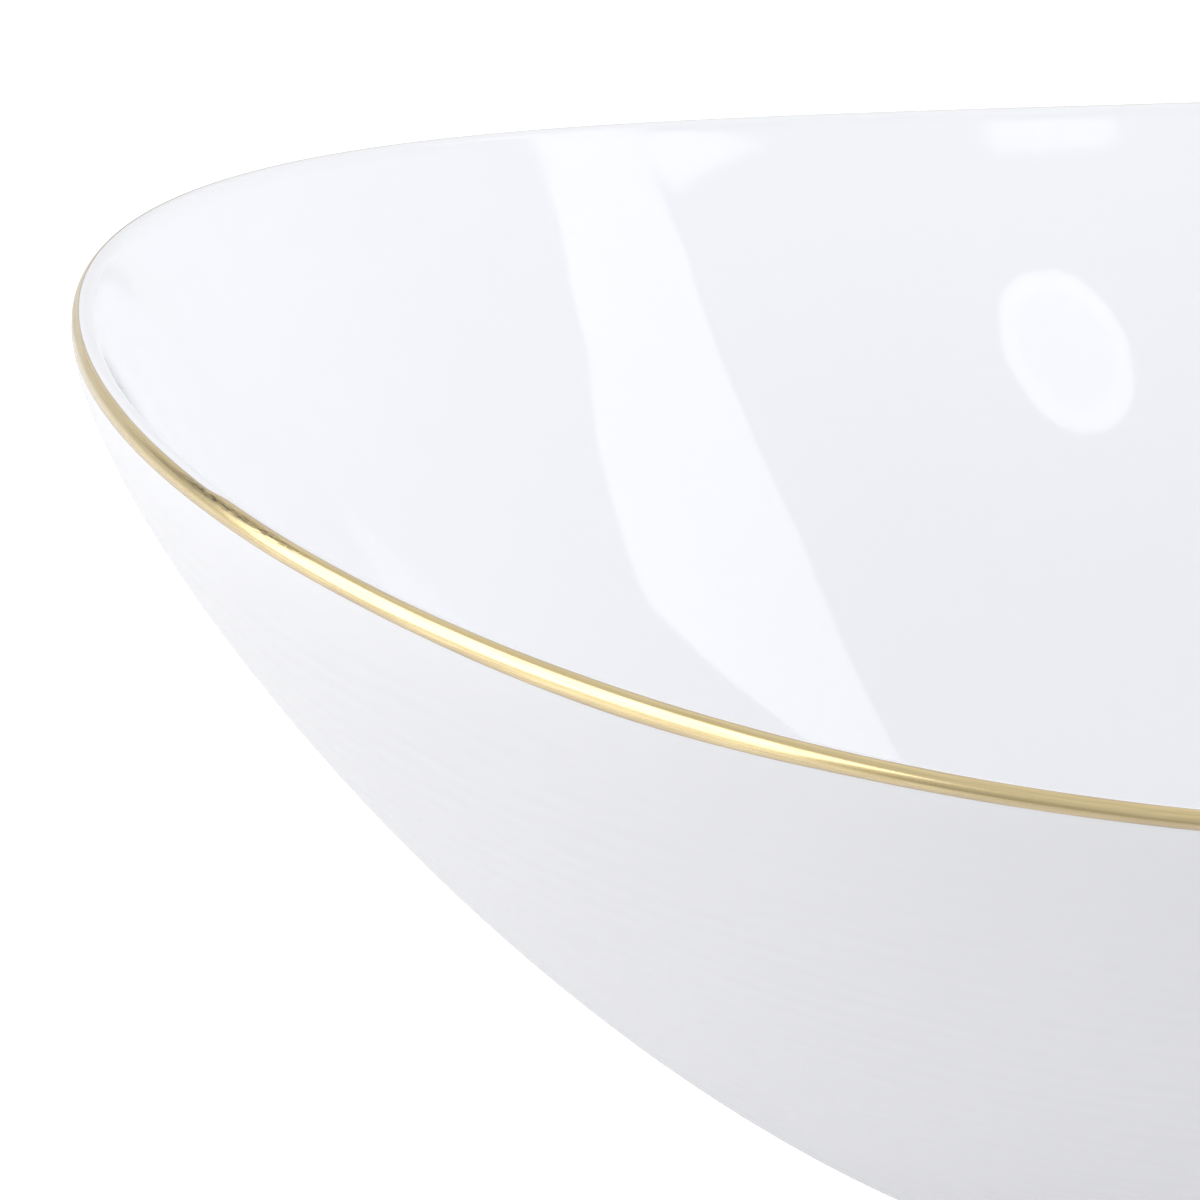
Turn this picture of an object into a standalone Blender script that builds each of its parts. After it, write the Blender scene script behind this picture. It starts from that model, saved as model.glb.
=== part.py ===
"""A round porcelain serving bowl with a waved rim, built from its separate pieces.

The pieces are the thin porcelain shell, the foot ring that is luted into a seat under it, and
the gold line that sits in a shallow rebate round the lip. Each piece is a turned section, and
then follows the rim's wave: the ends at +X and -X rise and the sides at +Y and -Y fall.

Units are metres, +Z is up, and the origin is on the bowl's axis at the level of the table.
"""

import math

import bpy
from mathutils import Vector
from mathutils.geometry import interpolate_bezier

# The lip: a round bead whose centre runs along the rim.
OUTER_DIAMETER = 0.250
LIP_RADIUS = 0.00115
RIM_RADIUS = OUTER_DIAMETER / 2 - LIP_RADIUS
RIM_HEIGHT = 0.0935

# The wave: how far the rim rises at its ends, and how the wall below takes it up.
WAVE_RISE = 0.0071
WAVE_START_HEIGHT = 0.0192
WAVE_EASE = 0.08

# The outer wall: one curve from the lip's round to the foot, given by its ends and handles.
WALL_LEAVES_LIP_AT = math.radians(10.0)
WALL_TOP_HANDLE = 0.0095
FOOT_RADIUS = 0.0435
FOOT_JOIN_HEIGHT = 0.01084
FOOT_JOIN_SLOPE = math.radians(24.3)
WALL_FOOT_HANDLE = 0.0526

# The wall's thickness grows fast just below the lip and then slowly to the foot.
WALL_BELOW_LIP = 0.0026
WALL_FLARE = 0.0019
FLARE_LENGTH = 0.0064
WALL_GROWTH = 0.0008

# The shoulder: the inside's short curve from the lip's bead into the wall.
SHOULDER_ANGLE = math.radians(150.0)
SHOULDER_LENGTH = 0.0045
SHOULDER_TOP_HANDLE = 0.0012
SHOULDER_FOOT_HANDLE = 0.0018

# The floor is a shallow dish.
FLOOR_HEIGHT = 0.0100
FLOOR_THICKNESS = 0.0042
FLOOR_OUTER_HANDLE = 0.010
FLOOR_INNER_HANDLE = 0.018

# The foot ring, and the sloping seat that holds its top edge.
FOOT_WIDTH = 0.0062
FOOT_DRAFT = 0.0009
FOOT_EDGE_ROUND = 0.0009
SEAT_DEPTH = 0.0012
FLOOR_EDGE_ROUND = 0.0010

# The gold line: angles round the lip's bead, from straight outwards towards the inside.
GOLD_TOP_ANGLE = math.radians(82.0)
GOLD_BOTTOM_ANGLE = math.radians(-15.0)
GOLD_THICKNESS = 0.00035

JOINT_GAP = 0.0003

# Fineness of the turned shapes.
TURN_STEPS = 64
WALL_POINTS = 15
FLOOR_POINTS = 6
SHOULDER_POINTS = 3
LIP_POINTS = 4
GOLD_POINTS = 6
MERGE_DISTANCE = 0.00001

GLAZED_PORCELAIN = (0.91, 0.92, 0.94, 1.0)
BARE_PORCELAIN = (0.86, 0.84, 0.80, 1.0)
FIRED_GOLD = (0.80, 0.62, 0.30, 1.0)


def clear_scene():
    """Remove whatever the scene holds."""
    for obj in list(bpy.data.objects):
        bpy.data.objects.remove(obj, do_unlink=True)


def make_material(name, color, roughness, metallic):
    """A plain Principled material."""
    material = bpy.data.materials.new(name)
    material.use_nodes = True
    shader = material.node_tree.nodes["Principled BSDF"]
    shader.inputs["Base Color"].default_value = color
    shader.inputs["Roughness"].default_value = roughness
    shader.inputs["Metallic"].default_value = metallic
    material.diffuse_color = color
    return material


def lip_arc(radius, start, end, count):
    """Points (radius from the axis, height) round the lip's bead, from one angle to another."""
    points = []
    for i in range(count):
        angle = start + (end - start) * i / (count - 1)
        points.append(
            Vector((RIM_RADIUS + radius * math.cos(angle), RIM_HEIGHT + radius * math.sin(angle)))
        )
    return points


def outer_wall():
    """The outer wall's curve, from the lip's round down to the foot."""
    top = lip_arc(LIP_RADIUS, WALL_LEAVES_LIP_AT, WALL_LEAVES_LIP_AT, 2)[0]
    leave = WALL_LEAVES_LIP_AT - math.pi / 2
    foot = Vector((FOOT_RADIUS, FOOT_JOIN_HEIGHT))
    top_handle = top + WALL_TOP_HANDLE * Vector((math.cos(leave), math.sin(leave)))
    foot_handle = foot + WALL_FOOT_HANDLE * Vector((math.cos(FOOT_JOIN_SLOPE), math.sin(FOOT_JOIN_SLOPE)))
    return interpolate_bezier(top, top_handle, foot_handle, foot, WALL_POINTS)


def inner_wall(outer):
    """The outer wall set inwards by the wall's thickness, from the shoulder to the foot."""
    last = len(outer) - 1
    down = [0.0]
    for i in range(last):
        down.append(down[i] + (outer[i + 1] - outer[i]).length)
    points = []
    for i in range(1, last + 1):
        if down[i] < SHOULDER_LENGTH:
            continue
        before = outer[i - 1]
        after = outer[min(i + 1, last)]
        along = (after - before).normalized()
        inwards = Vector((along.y, -along.x))
        flare = WALL_FLARE * (1 - math.exp(-down[i] / FLARE_LENGTH))
        thickness = WALL_BELOW_LIP + flare + WALL_GROWTH * down[i] / down[last]
        points.append(outer[i] + thickness * inwards)
    return points


def shoulder_curve(inside):
    """The inside's curve from the lip's bead down to the top of the inner wall."""
    start = lip_arc(LIP_RADIUS, SHOULDER_ANGLE, SHOULDER_ANGLE, 2)[0]
    leave = SHOULDER_ANGLE + math.pi / 2
    start_handle = start + SHOULDER_TOP_HANDLE * Vector((math.cos(leave), math.sin(leave)))
    along = (inside[1] - inside[0]).normalized()
    end_handle = inside[0] - SHOULDER_FOOT_HANDLE * along
    return interpolate_bezier(start, start_handle, end_handle, inside[0], SHOULDER_POINTS)


def floor_curve(start, before):
    """The inside floor, from the end of the inner wall to the axis."""
    along = (start - before).normalized()
    centre = Vector((0.0, FLOOR_HEIGHT))
    start_handle = start + FLOOR_OUTER_HANDLE * along
    centre_handle = centre + Vector((FLOOR_INNER_HANDLE, 0.0))
    return interpolate_bezier(start, start_handle, centre_handle, centre, FLOOR_POINTS)[1:]


def seat_height(radius):
    """The seat's height at a radius: it slopes as the wall above it does."""
    return FOOT_JOIN_HEIGHT + SEAT_DEPTH + (radius - FOOT_RADIUS) * math.tan(FOOT_JOIN_SLOPE)


def underside():
    """The seat for the foot ring and the bare underside of the floor, out to in."""
    seat_outer = FOOT_RADIUS + JOINT_GAP
    seat_inner = FOOT_RADIUS - FOOT_WIDTH - JOINT_GAP
    below = FLOOR_HEIGHT - FLOOR_THICKNESS
    return [
        Vector((seat_outer, seat_height(seat_outer))),
        Vector((seat_inner, seat_height(seat_inner))),
        Vector((seat_inner, below + FLOOR_EDGE_ROUND)),
        Vector((seat_inner - FLOOR_EDGE_ROUND, below)),
        Vector((0.0, below)),
    ]


def shell_section():
    """The shell's section: up the inside from the floor, over the lip, down the outside."""
    outer = outer_wall()
    inside = inner_wall(outer)
    floor = floor_curve(inside[-1], inside[-2])
    shoulder = shoulder_curve(inside)
    gap_angle = JOINT_GAP / LIP_RADIUS
    rebate_radius = LIP_RADIUS - GOLD_THICKNESS - JOINT_GAP
    rebate_top = GOLD_TOP_ANGLE + gap_angle
    rebate_bottom = GOLD_BOTTOM_ANGLE - gap_angle
    inner_lip = lip_arc(LIP_RADIUS, SHOULDER_ANGLE, rebate_top, LIP_POINTS)
    rebate = lip_arc(rebate_radius, rebate_top, rebate_bottom, GOLD_POINTS)
    step = lip_arc(LIP_RADIUS, rebate_bottom, rebate_bottom, 2)[:1]
    wall = [point for point in outer if point.y < step[0].y - JOINT_GAP]
    wall[-1] = wall[-1] + JOINT_GAP * Vector((math.cos(FOOT_JOIN_SLOPE), math.sin(FOOT_JOIN_SLOPE)))
    inner_side = shoulder[:-1] + inside + floor
    return list(reversed(inner_side)) + inner_lip[1:] + rebate + step + wall + underside()


def foot_section():
    """The foot ring's section: down its outer side, across the foot and up its inner side."""
    inner = FOOT_RADIUS - FOOT_WIDTH
    top_gap = JOINT_GAP / math.cos(FOOT_JOIN_SLOPE)
    outer_foot = FOOT_RADIUS - FOOT_DRAFT
    inner_foot = inner + FOOT_DRAFT
    return [
        Vector((inner, seat_height(inner) - top_gap)),
        Vector((FOOT_RADIUS, seat_height(FOOT_RADIUS) - top_gap)),
        Vector((FOOT_RADIUS, FOOT_JOIN_HEIGHT)),
        Vector((outer_foot, FOOT_EDGE_ROUND)),
        Vector((outer_foot - FOOT_EDGE_ROUND, 0.0)),
        Vector((inner_foot + FOOT_EDGE_ROUND, 0.0)),
        Vector((inner_foot, FOOT_EDGE_ROUND)),
        Vector((inner, FLOOR_HEIGHT - FLOOR_THICKNESS)),
    ]


def gold_section():
    """The gold line's section: round the outside of the bead, and back along its inner side."""
    inner_radius = LIP_RADIUS - GOLD_THICKNESS
    face = lip_arc(LIP_RADIUS, GOLD_TOP_ANGLE, GOLD_BOTTOM_ANGLE, GOLD_POINTS)
    back = lip_arc(inner_radius, GOLD_BOTTOM_ANGLE, GOLD_TOP_ANGLE, GOLD_POINTS)
    return face + back


def wave_share(height):
    """How much of the rim's wave a point at this height takes: none at the foot, all at the rim."""
    climb = (height - WAVE_START_HEIGHT) / (RIM_HEIGHT - WAVE_START_HEIGHT)
    climb = max(climb, 0.0)
    return climb * climb * (1 + WAVE_EASE) / (climb + WAVE_EASE)


def turn_section(name, section, closed):
    """An object with the section turned about the Z axis by a Screw modifier."""
    mesh = bpy.data.meshes.new(name)
    count = len(section)
    edges = [(i, i + 1) for i in range(count - 1)]
    if closed:
        edges.append((count - 1, 0))
    mesh.from_pydata([(point.x, 0.0, point.y) for point in section], edges, [])
    obj = bpy.data.objects.new(name, mesh)
    screw = obj.modifiers.new("Turn", "SCREW")
    screw.axis = "Z"
    screw.angle = math.tau
    screw.steps = TURN_STEPS
    screw.render_steps = TURN_STEPS
    screw.use_merge_vertices = True
    screw.merge_threshold = MERGE_DISTANCE
    return obj


def follow_wave(obj):
    """Apply the object's modifiers, and lift or lower each point as the rim's wave does."""
    graph = bpy.context.evaluated_depsgraph_get()
    mesh = bpy.data.meshes.new_from_object(obj.evaluated_get(graph))
    mesh.name = obj.name
    for vertex in mesh.vertices:
        around = math.atan2(vertex.co.y, vertex.co.x)
        vertex.co.z += WAVE_RISE * math.cos(2 * around) * wave_share(vertex.co.z)
    obj.modifiers.clear()
    obj.data = mesh


def make_piece(name, section, closed, material, collection):
    """One turned piece of the bowl, in its place and with its material."""
    obj = turn_section(name, section, closed)
    collection.objects.link(obj)
    bpy.context.view_layer.update()
    follow_wave(obj)
    obj.data.materials.clear()
    obj.data.materials.append(material)
    obj.data.shade_smooth()
    obj.data.set_sharp_from_angle(angle=math.radians(35.0))
    return obj


def main():
    clear_scene()
    collection = bpy.data.collections.new("serving_bowl")
    bpy.context.scene.collection.children.link(collection)
    axis = bpy.data.objects.new("bowl_axis", None)
    collection.objects.link(axis)

    glazed = make_material("glazed_porcelain", GLAZED_PORCELAIN, 0.08, 0.0)
    bare = make_material("bare_porcelain", BARE_PORCELAIN, 0.55, 0.0)
    gold = make_material("fired_gold", FIRED_GOLD, 0.2, 1.0)

    shell = make_piece("bowl_shell", shell_section(), False, glazed, collection)
    foot = make_piece("foot_ring", foot_section(), True, bare, collection)
    band = make_piece("gold_rim_band", gold_section(), True, gold, collection)
    for piece in (shell, foot, band):
        piece.parent = axis


main()
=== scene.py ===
"""The looks of the porcelain serving bowl: fine surfaces, glaze, fired gold, and a pale studio.

Units are metres, +Z is up, and the origin is on the bowl's axis at the level of the table.
Each turned surface follows the rim's wave as the CAD pieces do.
"""

import math

import bmesh
import bpy
import numpy as np
from mathutils import Matrix, Vector


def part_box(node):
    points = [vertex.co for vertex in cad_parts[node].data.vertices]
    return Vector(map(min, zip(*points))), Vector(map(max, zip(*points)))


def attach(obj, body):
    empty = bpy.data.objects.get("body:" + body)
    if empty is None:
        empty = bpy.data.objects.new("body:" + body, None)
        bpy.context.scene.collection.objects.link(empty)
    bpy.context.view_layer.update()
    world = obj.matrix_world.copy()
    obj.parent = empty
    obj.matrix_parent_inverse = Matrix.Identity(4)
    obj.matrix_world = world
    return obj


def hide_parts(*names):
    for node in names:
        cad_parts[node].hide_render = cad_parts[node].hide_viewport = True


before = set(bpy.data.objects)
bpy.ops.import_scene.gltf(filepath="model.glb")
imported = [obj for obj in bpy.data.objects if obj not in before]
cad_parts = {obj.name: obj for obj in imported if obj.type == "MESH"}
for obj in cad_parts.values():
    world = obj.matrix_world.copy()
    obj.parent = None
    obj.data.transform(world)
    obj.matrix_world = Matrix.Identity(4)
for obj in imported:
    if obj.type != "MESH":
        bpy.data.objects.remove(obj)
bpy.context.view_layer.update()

# The rim and its wave. The two radii are read from the CAD pieces' boxes.
_, gold_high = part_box("gold_rim_band")
_, foot_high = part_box("foot_ring")
LIP_RADIUS = 0.00115
OUTER_RADIUS = gold_high.x
RIM_RADIUS = OUTER_RADIUS - LIP_RADIUS
RIM_HEIGHT = 0.0935
WAVE_RISE = 0.0071
WAVE_START_HEIGHT = 0.0192
WAVE_EASE = 0.08

# The outer wall: one curve from the lip's round to the foot.
WALL_LEAVES_LIP_AT = math.radians(10.0)
WALL_TOP_HANDLE = 0.0095
FOOT_RADIUS = foot_high.x
FOOT_JOIN_HEIGHT = 0.01084
FOOT_JOIN_SLOPE = math.radians(24.3)
WALL_FOOT_HANDLE = 0.0526

# The wall's thickness and the floor.
WALL_BELOW_LIP = 0.0026
WALL_FLARE = 0.0019
FLARE_LENGTH = 0.0064
WALL_GROWTH = 0.0008
SHOULDER_ANGLE = math.radians(150.0)
SHOULDER_LENGTH = 0.0045
SHOULDER_TOP_HANDLE = 0.0012
SHOULDER_FOOT_HANDLE = 0.0018
FLOOR_HEIGHT = 0.0100
FLOOR_THICKNESS = 0.0042
FLOOR_OUTER_HANDLE = 0.010
FLOOR_INNER_HANDLE = 0.018

# How finely the shell's section is divided, and how many of the lip's rows have the inside glaze.
INSIDE_SPACING = 0.0005
FINE_SPACING = 0.00005
LIP_ROWS = 32
INSIDE_LIP_ROWS = 18
FLAT_RINGS = 16
FLAT_INSET = 0.002

# The moulded ribs outside: rings that follow the rim, softly rounded.
RIB_PITCH = 0.0029
RIB_DEPTH = 0.00003
RIB_WANDER = 0.25
RIBS_START = 0.0030
RIBS_END_FADE = 0.006
SAMPLES_PER_RIB = 8
RIB_SHALLOWEST, RIB_DEEPEST = 0.1, 1.2

# The waves that make the ribs wander and break off: how many of each go round the bowl, and how
# far apart they are down the wall.
WANDER_COUNTS = (5, 11, 23, 37)
WANDER_PITCHES = (0.03, -0.021, 0.017, -0.012)
BREAK_COUNTS = (13, 29, 47, 61, 83)
BREAK_PITCHES = (0.011, -0.009, 0.007, -0.0065, 0.008)

# The foot ring, its glaze, and the seat that holds it.
FOOT_WIDTH = 0.0062
FOOT_DRAFT = 0.0009
FOOT_EDGE_ROUND = 0.0009
FOOT_FILLET = 0.0026
FOOT_INNER_FILLET = 0.0018
SEAT_DEPTH = 0.0009
SEAT_GAP = 0.00002
SEAT_INSET = 0.0009
SEAT_LEAN = 0.0008
GLAZE_STOPS_AT = 0.0013
GLAZE_THICKNESS = 0.00008
GLAZE_BEAD = 0.0001
FOOT_SPACING = 0.0008

# The gold line: its edges are distances outwards from the crest of the lip. Turns are angles in
# radians round the bowl from the place where the brush was set down.
GOLD_INNER_EDGE = 0.00017
GOLD_OUTER_EDGE = 0.00222
GOLD_STEP = 0.00030
GOLD_STEP_TURN = 0.035
GOLD_FAR_SIDE = (2.6, 4.2)
GOLD_SWELL = 0.00045
GOLD_SWELL_TURN = 0.45
GOLD_SWELL_LENGTH = 0.16
GOLD_OUTER_WAVE = 0.00008
GOLD_WANDER = 0.00005
GOLD_STROKE_START = math.radians(-152.0)
GOLD_PATH_START = math.radians(130.0)
GOLD_PATH_END = 0.004
GOLD_FILM = 0.00003
GOLD_LIFT = 0.00001
GOLD_AROUND = 1080
GOLD_ROWS = 28
BRUSH_STRETCH = 25.0
GOLD_EDGE_FADE = 0.00028
# The outer edge's wider fade to brown is thin gold and also painted shade on the gold's lower edge.
GOLD_OUTER_FADE_AND_SHADE = 0.00065
GOLD_LAP_AT = 0.0008
GOLD_LAP_WIDTH = 0.0003
GOLD_LAP_START = (-0.05, 0.0)
GOLD_LAP_END = (0.09, 0.17)

# How many points the turned shapes have round the bowl.
AROUND = 540

# The glaze: painted shade that darkens it next to the gold on the lip, its softer gloss there, and
# the fine specks in the body.
LIP_PAINTED_SHADE = 0.93
LIP_PAINTED_SHADE_LENGTH = 0.0022
LIP_SOFT_LENGTH = 0.012
SPECKS_SCALE = 60.0
SPECK_RADIUS = 0.00022
SPECK_STRENGTH = 0.35
CLOUD_DEPTH = 0.985
PEEL_HEIGHT = 0.0002
GLAZE_IOR = 1.52

# The studio's surroundings: a base brightness and what each direction adds to it.
WORLD_BASE = 0.39
WORLD_OVERHEAD = 0.32
WORLD_RIGHT = 0.35
WORLD_BACK = 0.42
WORLD_FRONT_HIGH = 0.28
FLOOR_GLOW = 0.3
BOUNCE_GLOW = 0.155
FLOOR_HALF_WIDTH = 6.0
BOUNCE_DROP = 0.0004

# The camera: its lens in millimetres, its distance, and the point it looks at, from the middle
# of the rim: to the left, and down the picture.
CAMERA_ELEVATION = math.radians(17.475)
CAMERA_ROLL = -0.0287
CAMERA_DISTANCE = 0.619
CAMERA_LENS = 193.935
CAMERA_SENSOR = 36.0
CAMERA_AIM_LEFT = 0.07572846
CAMERA_AIM_DOWN = 0.02344772


def bezier(p0, p1, p2, p3, count):
    """Points along a cubic curve, as an array of (radius, height)."""
    t = np.linspace(0.0, 1.0, count)[:, None]
    s = 1.0 - t
    return s**3 * p0 + 3 * s * s * t * p1 + 3 * s * t * t * p2 + t**3 * p3


def direction(angle):
    """A unit vector in the section's plane at this angle."""
    return np.array([math.cos(angle), math.sin(angle)])


def lip_points(radius, angles):
    """Points round the lip's bead at these angles, from straight outwards towards the inside."""
    angles = np.asarray(angles)
    return np.stack(
        [RIM_RADIUS + radius * np.cos(angles), RIM_HEIGHT + radius * np.sin(angles)], axis=1
    )


def lengths(points):
    """The distance along a line of points, from its start."""
    steps = np.hypot(*np.diff(points, axis=0).T)
    return np.concatenate([[0.0], np.cumsum(steps)])


def resample(points, spacing):
    """The same line with even spacing, close to the one asked for."""
    along = lengths(points)
    count = max(2, int(round(along[-1] / spacing)) + 1)
    wanted = np.linspace(0.0, along[-1], count)
    return np.stack([np.interp(wanted, along, points[:, i]) for i in (0, 1)], axis=1)


def inward_normals(points):
    """Unit normals that point to the bowl's inside, for a line that runs down its outer side."""
    along = np.gradient(points, axis=0)
    along /= np.hypot(*along.T)[:, None]
    return np.stack([along[:, 1], -along[:, 0]], axis=1)


def outer_wall():
    """The plain outer wall, finely sampled, from the lip's round to the foot."""
    top = lip_points(LIP_RADIUS, [WALL_LEAVES_LIP_AT])[0]
    foot = np.array([FOOT_RADIUS, FOOT_JOIN_HEIGHT])
    top_handle = top + WALL_TOP_HANDLE * direction(WALL_LEAVES_LIP_AT - math.pi / 2)
    foot_handle = foot + WALL_FOOT_HANDLE * direction(FOOT_JOIN_SLOPE)
    return bezier(top, top_handle, foot_handle, foot, 2000)


def soft_noise(around, along, counts, pitches, seed):
    """Smooth noise between -1 and 1 over the wall, from waves that close up round the bowl."""
    waves = np.random.default_rng(seed)
    total = np.zeros(np.broadcast(around, along).shape)
    for count, pitch in zip(counts, pitches):
        turn = waves.uniform(0, 2 * math.pi)
        total += np.sin(count * around + 2 * math.pi * along / pitch + turn)
    return total / len(counts)


def rib_depth(down, around):
    """How far the ribs are pressed in, by distance down the wall and angle round the bowl."""
    down = down[:, None]
    around = around[None, :]
    wander = soft_noise(around, down, WANDER_COUNTS, WANDER_PITCHES, 5)
    phase = (down - RIBS_START) / RIB_PITCH + RIB_WANDER * wander
    groove = 0.5 - 0.5 * np.cos(2 * math.pi * phase)
    broken = soft_noise(around, down, BREAK_COUNTS, BREAK_PITCHES, 6)
    depth = RIB_DEPTH * groove * np.clip(0.55 + 0.9 * broken, RIB_SHALLOWEST, RIB_DEEPEST)
    fade_in = np.clip((down - RIBS_START) / RIB_PITCH, 0.0, 1.0)
    fade_out = np.clip((down.max() - down) / RIBS_END_FADE, 0.0, 1.0)
    return depth * fade_in * fade_out


def inner_wall(outer):
    """The inner wall: the outer one set in by the wall's thickness, from the shoulder down."""
    down = lengths(outer)
    thickness = (
        WALL_BELOW_LIP
        + WALL_FLARE * (1 - np.exp(-down / FLARE_LENGTH))
        + WALL_GROWTH * down / down[-1]
    )
    points = outer + thickness[:, None] * inward_normals(outer)
    return points[down > SHOULDER_LENGTH]


def lip_shoulder(inside):
    """The curve from the lip's round down into the inner wall."""
    start = lip_points(LIP_RADIUS, [SHOULDER_ANGLE])[0]
    along = (inside[1] - inside[0]) / np.hypot(*(inside[1] - inside[0]))
    return bezier(
        start,
        start + SHOULDER_TOP_HANDLE * direction(SHOULDER_ANGLE + math.pi / 2),
        inside[0] - SHOULDER_FOOT_HANDLE * along,
        inside[0],
        60,
    )


def floor_curve(start, before):
    """The inside floor, from the end of the inner wall to the axis."""
    along = (start - before) / np.hypot(*(start - before))
    centre = np.array([0.0, FLOOR_HEIGHT])
    return bezier(
        start,
        start + FLOOR_OUTER_HANDLE * along,
        centre + np.array([FLOOR_INNER_HANDLE, 0.0]),
        centre,
        400,
    )


def wave_share(height):
    """How much of the rim's wave a point at this height takes: none at the foot, all at the rim."""
    climb = np.maximum((height - WAVE_START_HEIGHT) / (RIM_HEIGHT - WAVE_START_HEIGHT), 0.0)
    return climb * climb * (1 + WAVE_EASE) / (climb + WAVE_EASE)


def waved(radius, height, around):
    """World points of a ring or a grid of section points, lifted by the rim's wave."""
    lift = WAVE_RISE * np.cos(2 * around) * wave_share(height)
    return np.stack([radius * np.cos(around), radius * np.sin(around), height + lift], axis=-1)


def turned_mesh(name, radius, height, closed, slot_of_row):
    """A turned mesh from grids of radius and height, one row per section point.

    An open section starts and ends on the axis; a closed one joins its last row to its first.
    slot_of_row gives the material slot of the faces below each row.
    """
    rows, steps = radius.shape
    around = np.linspace(0.0, 2 * math.pi, steps, endpoint=False)[None, :]
    grid = waved(radius, height, np.broadcast_to(around, radius.shape))
    index = np.arange(rows * steps).reshape(rows, steps)
    after = np.roll(index, -1, axis=1)
    upper = index if closed else index[:-1]
    lower = np.roll(index, -1, axis=0) if closed else index[1:]
    upper_after = after if closed else after[:-1]
    lower_after = np.roll(after, -1, axis=0) if closed else after[1:]
    quads = np.stack([upper, lower, lower_after, upper_after], axis=-1).reshape(-1, 4)
    slots = np.repeat(np.asarray(slot_of_row)[: len(upper)], steps)
    points = grid.reshape(-1, 3)
    mesh = bpy.data.meshes.new(name)
    mesh.from_pydata(points.tolist(), [], quads.tolist())
    mesh.polygons.foreach_set("material_index", slots.astype(np.int32))
    mesh.update()
    obj = bpy.data.objects.new(name, mesh)
    bpy.context.scene.collection.objects.link(obj)
    return obj


def close_poles(obj):
    """Weld the rings that lie on the axis into single points."""
    bm = bmesh.new()
    bm.from_mesh(obj.data)
    bmesh.ops.remove_doubles(bm, verts=bm.verts, dist=1e-7)
    bmesh.ops.dissolve_degenerate(bm, dist=1e-8, edges=bm.edges)
    bm.to_mesh(obj.data)
    bm.free()


def same_all_round(section):
    """Grids of radius and height for a section that is the same all the way round."""
    return (
        np.repeat(section[:, :1], AROUND, axis=1),
        np.repeat(section[:, 1:], AROUND, axis=1),
    )


def seat_points(gap):
    """The seat between the shell and the foot ring, from the outer wall in to the underside.

    The shell's side of the seat has no gap; the foot's side is a hair lower.
    """
    along = direction(FOOT_JOIN_SLOPE)
    inwards = np.array([-along[1], along[0]])
    corner = np.array([FOOT_RADIUS, FOOT_JOIN_HEIGHT])
    edge = corner + FOOT_FILLET * along
    below = FLOOR_HEIGHT - FLOOR_THICKNESS
    inner = FOOT_RADIUS - FOOT_WIDTH - FOOT_INNER_FILLET
    inner_run = (inner + SEAT_INSET - FOOT_RADIUS) / along[0]
    inner_top = corner + inner_run * along + SEAT_DEPTH * inwards
    return np.array(
        [
            edge - gap * inwards,
            edge + (SEAT_DEPTH - gap) * inwards - SEAT_LEAN * along,
            inner_top - gap * inwards,
            [inner + gap, below - gap * 0.5],
        ]
    )


def shell_section():
    """The shell's section, the material slot below each of its points, and its ribbed rows."""
    plain = outer_wall()
    inside = inner_wall(plain)
    floor = floor_curve(inside[-1], inside[-2])
    shoulder = lip_shoulder(inside)
    inside_line = resample(np.concatenate([shoulder, inside[1:], floor[1:]]), INSIDE_SPACING)[::-1]
    lip_angles = np.linspace(SHOULDER_ANGLE, WALL_LEAVES_LIP_AT, LIP_ROWS)
    lip = lip_points(LIP_RADIUS, lip_angles)
    seat = seat_points(0.0)
    fine = resample(plain, FINE_SPACING)
    fine = fine[fine[:, 0] > seat[0, 0]]
    outside = resample(fine, RIB_PITCH / SAMPLES_PER_RIB)
    below = seat[-1, 1]
    flat = [[r, below] for r in np.linspace(seat[-1, 0] - FLAT_INSET, 0.0, FLAT_RINGS)]
    section = np.concatenate([inside_line, lip[1:], outside[1:], seat, flat])
    inside_rows = len(inside_line) + INSIDE_LIP_ROWS
    slots = np.zeros(len(section), int)
    slots[inside_rows:] = 1
    ribbed_from = len(inside_line) + len(lip) - 1
    return section, slots, slice(ribbed_from, ribbed_from + len(outside) - 1)


def new_material(name):
    """A material with a Principled shader, and its nodes and links."""
    material = bpy.data.materials.new(name)
    material.use_nodes = True
    return material, material.node_tree.nodes, material.node_tree.links


def noise_node(nodes, links, vector, scale, detail):
    """Noise from these coordinates, as a grey."""
    noise = nodes.new("ShaderNodeTexNoise")
    noise.inputs["Scale"].default_value = scale
    noise.inputs["Detail"].default_value = detail
    links.new(vector, noise.inputs["Vector"])
    return noise.outputs["Fac"]


def ramp_node(nodes, links, factor, stops):
    """A colour ramp with these (position, colour) stops; a colour may be a single grey."""
    ramp = nodes.new("ShaderNodeValToRGB")
    elements = ramp.color_ramp.elements
    while len(elements) < len(stops):
        elements.new(0.5)
    for element, (position, color) in zip(elements, stops):
        element.position = position
        element.color = (*color, 1.0) if isinstance(color, tuple) else (color, color, color, 1.0)
    links.new(factor, ramp.inputs["Fac"])
    return ramp.outputs["Color"]


def attribute_node(nodes, name):
    """A node that reads the values kept on the mesh under this name."""
    node = nodes.new("ShaderNodeAttribute")
    node.attribute_name = name
    return node


def lip_painted_shade(nodes, links, from_lip):
    """Painted shade: a grey that darkens the glaze within a few millimetres of the lip's crest,
    next to the gold.
    """
    near = math_node(nodes, links, "MULTIPLY", from_lip, 1.0 / LIP_PAINTED_SHADE_LENGTH)
    middle = 0.5 + 0.5 * LIP_PAINTED_SHADE
    return ramp_node(nodes, links, near, [(0.0, LIP_PAINTED_SHADE), (0.35, middle), (1.0, 1.0)])


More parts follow.
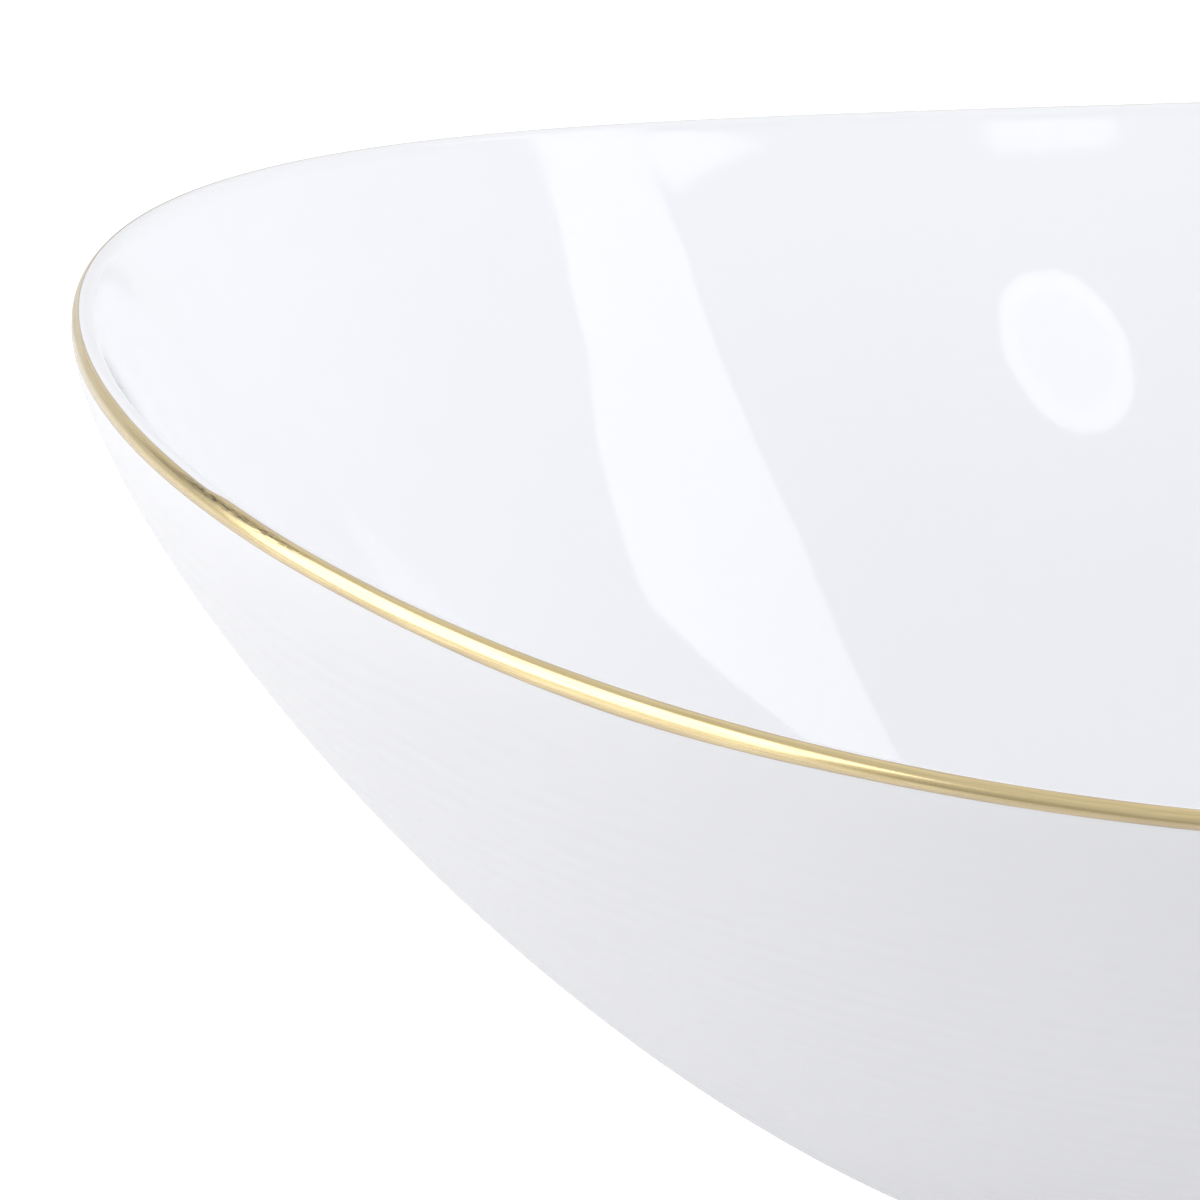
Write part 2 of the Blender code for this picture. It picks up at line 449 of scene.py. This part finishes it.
def iron_specks(nodes, links, place, share):
    """How much each point lies in one of the body's fine specks."""
    cells = nodes.new("ShaderNodeTexVoronoi")
    cells.inputs["Scale"].default_value = SPECKS_SCALE
    links.new(place, cells.inputs["Vector"])
    pick = nodes.new("ShaderNodeSeparateXYZ")
    links.new(cells.outputs["Color"], pick.inputs["Vector"])
    chosen = math_node(nodes, links, "LESS_THAN", pick.outputs["X"], share)
    size = math_node(nodes, links, "MULTIPLY", pick.outputs["Y"], SPECK_RADIUS * SPECKS_SCALE)
    inside = math_node(nodes, links, "LESS_THAN", cells.outputs["Distance"], size)
    speck = math_node(nodes, links, "MULTIPLY", chosen, inside)
    return math_node(nodes, links, "MULTIPLY", speck, SPECK_STRENGTH)


def glaze_material(name, tint, roughness, peel_strength, speck_share, lip_roughness=None):
    """Clear glaze on white porcelain.

    The body is faintly clouded and has a few fine iron specks, and the glaze has a slight orange
    peel. It may be a little less glossy near the lip.
    """
    material, nodes, links = new_material(name)
    shader = nodes["Principled BSDF"]
    place = nodes.new("ShaderNodeTexCoord").outputs["Object"]
    cloud = noise_node(nodes, links, place, 14.0, 3.0)
    deeper = tuple(CLOUD_DEPTH * c for c in tint)
    body = ramp_node(nodes, links, cloud, [(0.3, deeper), (0.7, tint)])

    from_lip = attribute_node(nodes, "from_lip").outputs["Fac"]
    # Painted shade: the body's colour is multiplied by a grey that darkens it near the lip's crest.
    shaded_body = nodes.new("ShaderNodeMixRGB")
    shaded_body.blend_type = "MULTIPLY"
    shaded_body.inputs["Fac"].default_value = 1.0
    links.new(body, shaded_body.inputs["Color1"])
    links.new(lip_painted_shade(nodes, links, from_lip), shaded_body.inputs["Color2"])

    specked = nodes.new("ShaderNodeMixRGB")
    specked.inputs["Color2"].default_value = (0.36, 0.33, 0.3, 1.0)
    links.new(iron_specks(nodes, links, place, speck_share), specked.inputs["Fac"])
    links.new(shaded_body.outputs["Color"], specked.inputs["Color1"])
    links.new(specked.outputs["Color"], shader.inputs["Base Color"])

    peel = noise_node(nodes, links, place, 160.0, 2.0)
    bump = nodes.new("ShaderNodeBump")
    bump.inputs["Strength"].default_value = peel_strength
    bump.inputs["Distance"].default_value = PEEL_HEIGHT
    links.new(peel, bump.inputs["Height"])
    links.new(bump.outputs["Normal"], shader.inputs["Normal"])
    shader.inputs["Roughness"].default_value = roughness
    if lip_roughness:
        near = math_node(nodes, links, "MULTIPLY", from_lip, 1.0 / LIP_SOFT_LENGTH)
        softer = ramp_node(nodes, links, near, [(0.45, lip_roughness), (1.0, roughness)])
        links.new(softer, shader.inputs["Roughness"])
    shader.inputs["IOR"].default_value = GLAZE_IOR
    return material


def gold_material():
    """Fired gold: brush lines along the rim, thin brown edges, and specks where the stroke laps.
    The brown fade along the outer edge is widened as painted shade on the gold's lower edge.
    """
    material, nodes, links = new_material("fired_gold")
    shader = nodes["Principled BSDF"]
    stroke = attribute_node(nodes, "stroke").outputs["Vector"]
    edge = attribute_node(nodes, "edge").outputs["Fac"]
    lap = attribute_node(nodes, "lap").outputs["Fac"]
    brush = noise_node(nodes, links, stroke, 130.0, 3.0)
    warm = ramp_node(nodes, links, brush, [(0.3, (0.73, 0.58, 0.30)), (0.7, (0.85, 0.70, 0.39))])
    fine = noise_node(nodes, links, stroke, 900.0, 2.0)
    patches = ramp_node(nodes, links, fine, [(0.46, 0.0), (0.54, 1.0)])
    speck = math_node(nodes, links, "MULTIPLY", patches, lap)
    dark = nodes.new("ShaderNodeMixRGB")
    dark.inputs["Color2"].default_value = (0.12, 0.09, 0.05, 1.0)
    links.new(speck, dark.inputs["Fac"])
    links.new(warm, dark.inputs["Color1"])
    from_edge = math_node(nodes, links, "MULTIPLY", edge, 1.0 / GOLD_EDGE_FADE)
    wobble = math_node(nodes, links, "MULTIPLY", brush, 0.8)
    uneven = math_node(nodes, links, "ADD", from_edge, wobble)
    full = math_node(nodes, links, "SUBTRACT", uneven, 0.3, clamp=True)
    # Brown where the gold thins at its edges; along the outer edge this is partly painted shade.
    color = nodes.new("ShaderNodeMixRGB")
    color.inputs["Color1"].default_value = (0.45, 0.36, 0.25, 1.0)
    links.new(full, color.inputs["Fac"])
    links.new(dark.outputs["Color"], color.inputs["Color2"])
    links.new(color.outputs["Color"], shader.inputs["Base Color"])
    links.new(full, shader.inputs["Metallic"])
    shader.inputs["Coat Weight"].default_value = 0.4
    shader.inputs["Coat Roughness"].default_value = 0.12
    rough = ramp_node(nodes, links, brush, [(0.3, 0.24), (0.7, 0.15)])
    links.new(rough, shader.inputs["Roughness"])
    return material


def store(obj, name, kind, field, values):
    """Keep one value per point on a mesh, for its material to read."""
    attribute = obj.data.attributes.new(name, kind, "POINT")
    attribute.data.foreach_set(field, np.ascontiguousarray(values, np.float32).ravel())


def build_shell(inside_glaze_painted_light, outside_glaze_painted_shade):
    """The porcelain shell, with its ribs pressed into the outer wall."""
    section, slots, ribbed = shell_section()
    radius, height = same_all_round(section)
    around = np.linspace(0.0, 2 * math.pi, AROUND, endpoint=False)
    depth = rib_depth(lengths(section[ribbed]), around)
    inwards = inward_normals(section[ribbed])
    radius[ribbed] += depth * inwards[:, :1]
    height[ribbed] += depth * inwards[:, 1:]
    shell = turned_mesh("porcelain_shell", radius, height, False, slots)
    along = lengths(section)
    crest = along[np.argmax(section[:, 1])]
    from_lip = np.repeat(np.abs(along - crest)[:, None], AROUND, axis=1)
    store(shell, "from_lip", "FLOAT", "value", from_lip)
    close_poles(shell)
    shell.data.materials.append(inside_glaze_painted_light)
    shell.data.materials.append(outside_glaze_painted_shade)
    shell.data.shade_smooth()
    return shell


def foot_section():
    """The foot ring: a fillet of slip under the wall, a tapered side, and a flat bare face.

    Also gives the rows between which the face is bare.
    """
    inner = FOOT_RADIUS - FOOT_WIDTH
    outer_foot = FOOT_RADIUS - FOOT_DRAFT
    inner_foot = inner + FOOT_DRAFT
    seat = seat_points(SEAT_GAP)
    below = FLOOR_HEIGHT - FLOOR_THICKNESS
    corner = np.array([FOOT_RADIUS, FOOT_JOIN_HEIGHT])
    side_top = np.array([FOOT_RADIUS, FOOT_JOIN_HEIGHT - FOOT_FILLET])
    fillet = bezier(seat[0], corner, corner, side_top, 14)
    outer_glaze_end = np.array([outer_foot + GLAZE_BEAD, GLAZE_STOPS_AT])
    side = resample(np.array([side_top, outer_glaze_end]), FOOT_SPACING)
    quarter = np.linspace(0.0, math.pi / 2, 7)
    falls = FOOT_EDGE_ROUND * (1 - np.cos(quarter))
    rises = FOOT_EDGE_ROUND * (1 - np.sin(quarter))
    outer_round = np.stack([outer_foot - GLAZE_THICKNESS - falls, rises], axis=1)
    inner_round = np.stack([inner_foot + GLAZE_THICKNESS + rises, falls], axis=1)
    inner_glaze_end = np.array([inner_foot - GLAZE_BEAD, GLAZE_STOPS_AT])
    inner_top = np.array([inner, below - FOOT_INNER_FILLET])
    inner_side = resample(np.array([inner_glaze_end, inner_top]), FOOT_SPACING)
    inner_corner = np.array([inner, below])
    inner_fillet = bezier(inner_top, inner_corner, inner_corner, seat[-1], 10)
    glazed_above = np.concatenate([fillet, side[1:]])
    bare_face = np.concatenate([outer_round, inner_round])
    glazed_inside = np.concatenate([inner_side, inner_fillet[1:]])
    section = np.concatenate([glazed_above, bare_face, glazed_inside, seat[2:0:-1]])
    return section, (len(glazed_above), len(glazed_above) + len(bare_face))


def build_foot(glaze, bare):
    """The foot ring, glazed on its sides and bare where it stands."""
    section, (bare_from, bare_to) = foot_section()
    radius, height = same_all_round(section)
    slots = np.zeros(len(section), int)
    slots[bare_from - 1 : bare_to] = 1
    foot = turned_mesh("foot_ring_fine", radius, height, True, slots)
    # The foot is far from the lip, so none of the lip's painted shade reaches it.
    far = np.full(radius.shape, LIP_PAINTED_SHADE_LENGTH)
    store(foot, "from_lip", "FLOAT", "value", far)
    foot.data.materials.append(glaze)
    foot.data.materials.append(bare)
    foot.data.shade_smooth()
    return foot


def gold_path():
    """The surface the gold lies on, from inside the lip's crest down the outer wall.

    Gives the points, and each point's distance from the crest, measured outwards.
    """
    angles = np.linspace(GOLD_PATH_START, WALL_LEAVES_LIP_AT, 400)
    wall = outer_wall()
    wall = wall[lengths(wall) < GOLD_PATH_END]
    points = np.concatenate([lip_points(LIP_RADIUS, angles), wall[1:]])
    from_start = lengths(points)
    crest = LIP_RADIUS * (angles[0] - math.pi / 2)
    return points, from_start - crest


def smooth_step(value, start, end):
    """Zero before the start, one after the end, and an S-shaped climb between them."""
    share = np.clip((value - start) / (end - start), 0.0, 1.0)
    return share * share * (3 - 2 * share)


def hand_drawn(around, scale, seed):
    """A small wander of a line along the rim, the same on each run."""
    waves = np.random.default_rng(seed)
    total = np.zeros_like(around)
    for count in (9, 17, 31, 53, 97, 151):
        size = waves.normal() / count**0.5
        total += size * np.sin(count * around + waves.uniform(0, 2 * math.pi))
    return scale * total / 2


def gold_edges(around):
    """The inner and outer edge of the gold, as distances outwards from the crest.

    The brush was set down and lifted at one place, where the inner edge has a small step. On the
    far side the line lies a little further out.
    """
    turn = np.mod(around - GOLD_STROKE_START, 2 * math.pi)
    step = 1 - smooth_step(turn, 0.0, GOLD_STEP_TURN) + smooth_step(turn, *GOLD_FAR_SIDE)
    inner = GOLD_INNER_EDGE + GOLD_STEP * step + hand_drawn(around, GOLD_WANDER, 3)
    swell = GOLD_SWELL * np.exp(-(((turn - GOLD_SWELL_TURN) / GOLD_SWELL_LENGTH) ** 2))
    wave = GOLD_OUTER_WAVE * np.cos(2 * around)
    outer = GOLD_OUTER_EDGE + swell + wave + hand_drawn(around, GOLD_WANDER, 8)
    return inner, outer


def gold_lap(around):
    """How much each point lies in the short stretch where the stroke's two ends overlap."""
    turn = np.mod(around - GOLD_STROKE_START + math.pi, 2 * math.pi) - math.pi
    return smooth_step(turn, *GOLD_LAP_START) * (1 - smooth_step(turn, *GOLD_LAP_END))


def build_gold(material):
    """The gold line: a thin film over the lip, its two edges drawn by hand."""
    path, along = gold_path()
    around = np.linspace(0.0, 2 * math.pi, GOLD_AROUND, endpoint=False)
    inner, outer = gold_edges(around)
    share = np.linspace(0.0, 1.0, GOLD_ROWS)[:, None]
    across = inner + (outer - inner) * share
    normals = -inward_normals(path)
    grids = []
    for lift in (GOLD_LIFT + GOLD_FILM, GOLD_LIFT):
        lifted = path + lift * normals
        grids.append([np.interp(across, along, lifted[:, i]) for i in (0, 1)])
    radius = np.concatenate([grids[0][0], grids[1][0][::-1]])
    height = np.concatenate([grids[0][1], grids[1][1][::-1]])
    gold = turned_mesh("gold_line", radius, height, True, np.zeros(len(radius), int))
    turn = np.broadcast_to(around, radius.shape)
    both_sides = np.concatenate([across, across[::-1]])
    stroke = [OUTER_RADIUS * np.cos(turn), OUTER_RADIUS * np.sin(turn), BRUSH_STRETCH * both_sides]
    store(gold, "stroke", "FLOAT_VECTOR", "vector", np.stack(stroke, axis=-1))
    # Thin gold at both edges; the outer edge's wider fade also paints shade on the gold's lower
    # edge.
    edge = np.minimum(across - inner, (outer - across) * GOLD_EDGE_FADE / GOLD_OUTER_FADE_AND_SHADE)
    store(gold, "edge", "FLOAT", "value", np.concatenate([edge, edge[::-1]]))
    lap = gold_lap(turn) * np.exp(-(((both_sides - GOLD_LAP_AT) / GOLD_LAP_WIDTH) ** 2))
    store(gold, "lap", "FLOAT", "value", lap)
    gold.data.materials.append(material)
    gold.data.shade_smooth()
    return gold


def build_camera():
    """A long lens, a little above the rim and to the left of the bowl's middle."""
    camera_data = bpy.data.cameras.new("camera")
    camera_data.sensor_width = CAMERA_SENSOR
    camera_data.lens = CAMERA_LENS
    camera = bpy.data.objects.new("camera", camera_data)
    back = Vector((0.0, -math.cos(CAMERA_ELEVATION), math.sin(CAMERA_ELEVATION)))
    down = Vector((0.0, -math.sin(CAMERA_ELEVATION), -math.cos(CAMERA_ELEVATION)))
    aim = Vector((-CAMERA_AIM_LEFT, 0.0, RIM_HEIGHT)) + CAMERA_AIM_DOWN * down
    tilt = Matrix.Rotation(math.pi / 2 - CAMERA_ELEVATION, 4, "X")
    turn = tilt @ Matrix.Rotation(CAMERA_ROLL, 4, "Z")
    camera.matrix_world = Matrix.Translation(aim + CAMERA_DISTANCE * back) @ turn
    bpy.context.scene.collection.objects.link(camera)
    bpy.context.scene.camera = camera


def towards(azimuth, elevation):
    """A unit vector by compass, in degrees: azimuth from +Y towards +X, elevation upwards."""
    a, e = math.radians(azimuth), math.radians(elevation)
    return Vector((math.sin(a) * math.cos(e), math.cos(a) * math.cos(e), math.sin(e)))


def set_card(name, azimuth, elevation, distance, outline, color, glow):
    """A flat card that faces the bowl's foot from this direction: a light if it glows, else a flag.

    The outline is in metres on the card: to the right as the bowl sees it, and up.
    """
    card, _ = build_card(name, [(-x, y, 0.0) for x, y in outline][::-1], color, glow)
    back = towards(azimuth, elevation)
    turn = back.to_track_quat("Z", "Y").to_matrix().to_4x4()
    card.matrix_world = Matrix.Translation(distance * back) @ turn
    card.visible_camera = False
    bpy.context.scene.collection.objects.link(card)


def rectangle(left, bottom, right, top):
    """A card's outline: an upright rectangle."""
    return [(left, bottom), (right, bottom), (right, top), (left, top)]


def ellipse(x, y, width, height):
    """A card's outline: an ellipse about a middle point."""
    turns = [2 * math.pi * i / 48 for i in range(48)]
    return [(x + width / 2 * math.cos(t), y + height / 2 * math.sin(t)) for t in turns]


def math_node(nodes, links, operation, first, second=None, clamp=False):
    """The result of a sum on numbers or sockets."""
    node = nodes.new("ShaderNodeMath")
    node.operation = operation
    node.use_clamp = clamp
    for socket, value in zip(node.inputs, (first, second)):
        if isinstance(value, (int, float)):
            socket.default_value = value
        elif value is not None:
            links.new(value, socket)
    return node.outputs[0]


def build_world():
    """Soft light from all round: brightest overhead, behind and at the right, dimmer low in front.

    The camera sees plain white instead.
    """
    world = bpy.data.worlds.new("studio")
    world.use_nodes = True
    nodes, links = world.node_tree.nodes, world.node_tree.links
    background = nodes["Background"]
    place = nodes.new("ShaderNodeTexCoord")
    parts = nodes.new("ShaderNodeSeparateXYZ")
    links.new(place.outputs["Generated"], parts.inputs["Vector"])
    right, back, up = parts.outputs
    overhead = math_node(nodes, links, "MULTIPLY", up, 1.0, clamp=True)
    front = math_node(nodes, links, "MULTIPLY", back, -1.0, clamp=True)
    strength = WORLD_BASE
    for part, share in (
        (math_node(nodes, links, "MULTIPLY", overhead, overhead), WORLD_OVERHEAD),
        (math_node(nodes, links, "MULTIPLY", right, 1.0, clamp=True), WORLD_RIGHT),
        (math_node(nodes, links, "MULTIPLY", back, 1.0, clamp=True), WORLD_BACK),
        (math_node(nodes, links, "MULTIPLY", front, overhead), WORLD_FRONT_HIGH),
    ):
        weighted = math_node(nodes, links, "MULTIPLY", part, share)
        strength = math_node(nodes, links, "ADD", weighted, strength)
    links.new(strength, background.inputs["Strength"])
    background.inputs["Color"].default_value = (0.985, 0.99, 1.0, 1.0)
    white = nodes.new("ShaderNodeBackground")
    white.inputs["Color"].default_value = (1.0, 1.0, 1.0, 1.0)
    seen = nodes.new("ShaderNodeLightPath")
    mix = nodes.new("ShaderNodeMixShader")
    links.new(seen.outputs["Is Camera Ray"], mix.inputs["Fac"])
    links.new(background.outputs["Background"], mix.inputs[1])
    links.new(white.outputs["Background"], mix.inputs[2])
    links.new(mix.outputs["Shader"], nodes["World Output"].inputs["Surface"])
    bpy.context.scene.world = world


def build_card(name, points, color, glow):
    """A plain flat card, part of the studio. Also gives its material's nodes and links."""
    mesh = bpy.data.meshes.new(name)
    mesh.from_pydata(points, [], [tuple(range(len(points)))])
    material, nodes, links = new_material(name)
    shader = nodes["Principled BSDF"]
    shader.inputs["Base Color"].default_value = (*color, 1.0)
    shader.inputs["Roughness"].default_value = 0.9
    shader.inputs["Specular IOR Level"].default_value = 0.0
    shader.inputs["Emission Color"].default_value = (1.0, 1.0, 1.0, 1.0)
    shader.inputs["Emission Strength"].default_value = glow
    mesh.materials.append(material)
    return bpy.data.objects.new(name, mesh), (nodes, links)


def build_floor():
    """A pale floor for the camera, and a greyer one, a hair lower, for bounces and reflections.

    Seen from below, the camera's floor is clear, so the underside can be looked at.
    """
    half = FLOOR_HALF_WIDTH
    corners = rectangle(-half, -half, half, half)
    level = [(x, y, 0.0) for x, y in corners]
    low = [(x, y, -BOUNCE_DROP) for x, y in corners]
    pale, (nodes, links) = build_card("floor", level, (0.95, 0.95, 0.95), FLOOR_GLOW)
    grey, _ = build_card("bounce_floor", low, (0.78, 0.78, 0.79), BOUNCE_GLOW)
    side = nodes.new("ShaderNodeNewGeometry")
    clear = nodes.new("ShaderNodeBsdfTransparent")
    mix = nodes.new("ShaderNodeMixShader")
    links.new(side.outputs["Backfacing"], mix.inputs["Fac"])
    links.new(nodes["Principled BSDF"].outputs["BSDF"], mix.inputs[1])
    links.new(clear.outputs["BSDF"], mix.inputs[2])
    links.new(mix.outputs["Shader"], nodes["Material Output"].inputs["Surface"])
    pale.visible_diffuse = False
    pale.visible_glossy = False
    pale.visible_transmission = False
    pale.visible_shadow = False
    grey.visible_camera = False
    for floor in (pale, grey):
        bpy.context.scene.collection.objects.link(floor)


def build_studio():
    """White surroundings, soft lights and a pale floor."""
    bpy.context.scene.view_settings.view_transform = "Standard"
    build_world()
    build_floor()
    white, dark = (0.8, 0.8, 0.8), (0.3, 0.3, 0.3)
    set_card("left_light", -100.0, 19.0, 0.773, rectangle(-0.46, -0.2, 0.36, 0.52), white, 1.62)
    set_card("front_light", 115.0, 19.0, 0.92, rectangle(-0.35, -0.18, 0.35, 0.42), white, 1.5)
    set_card("side_light", 92.0, 8.0, 0.91, rectangle(-0.35, -0.13, 0.35, 0.37), white, 1.3)
    lower_edge = [(-0.32, -0.01), (-0.14, -0.01), (-0.05, -0.04), (0.02, -0.09), (0.22, -0.23)]
    upper_edge = [(0.32, -0.2), (0.2, -0.08), (0.06, 0.06), (-0.09, 0.15), (-0.27, 0.19)]
    set_card("right_light", 77.0, 40.0, 0.8, lower_edge + upper_edge, white, 1.45)
    set_card("round_light", 129.0, 61.0, 0.8, ellipse(-0.07, 0.09, 0.14, 0.14), white, 2.0)
    middle = ellipse(-0.07, 0.09, 0.105, 0.105)
    set_card("round_light_middle", 129.0, 61.0, 0.799, middle, white, 1.5)
    slanted = [(-0.14, 0.24), (0.03, 0.26), (-0.02, 0.49), (-0.2, 0.46)]
    set_card("back_light", 150.0, 25.0, 0.8, slanted, white, 1.5)
    set_card("flag", -62.0, 20.0, 0.774, rectangle(-0.05, -0.05, 0.05, 0.4), dark, 0.0)


build_camera()
build_studio()
# The inside and outside glaze are one glaze in two tints: the inside's lighter tint is painted
# light and the outside's darker tint is painted shade, matched to how brightly each side is lit.
inside_glaze_painted_light = glaze_material("inside_glaze_painted_light", (0.868, 0.874, 0.902), 0.04, 0.05, 0.12, 0.07)
outside_glaze_painted_shade = glaze_material("outside_glaze_painted_shade", (0.729, 0.73, 0.746), 0.25, 0.1, 0.12)
bare = glaze_material("bare_porcelain", (0.84, 0.82, 0.78), 0.6, 0.4, 0.3)
gold = gold_material()

shell = build_shell(inside_glaze_painted_light, outside_glaze_painted_shade)
foot = build_foot(outside_glaze_painted_shade, bare)
line = build_gold(gold)
for piece, node, slot in (
    (shell, "bowl_shell", "glazed_porcelain"),
    (foot, "foot_ring", "bare_porcelain"),
    (line, "gold_rim_band", "fired_gold"),
):
    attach(piece, "root")
    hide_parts(node)
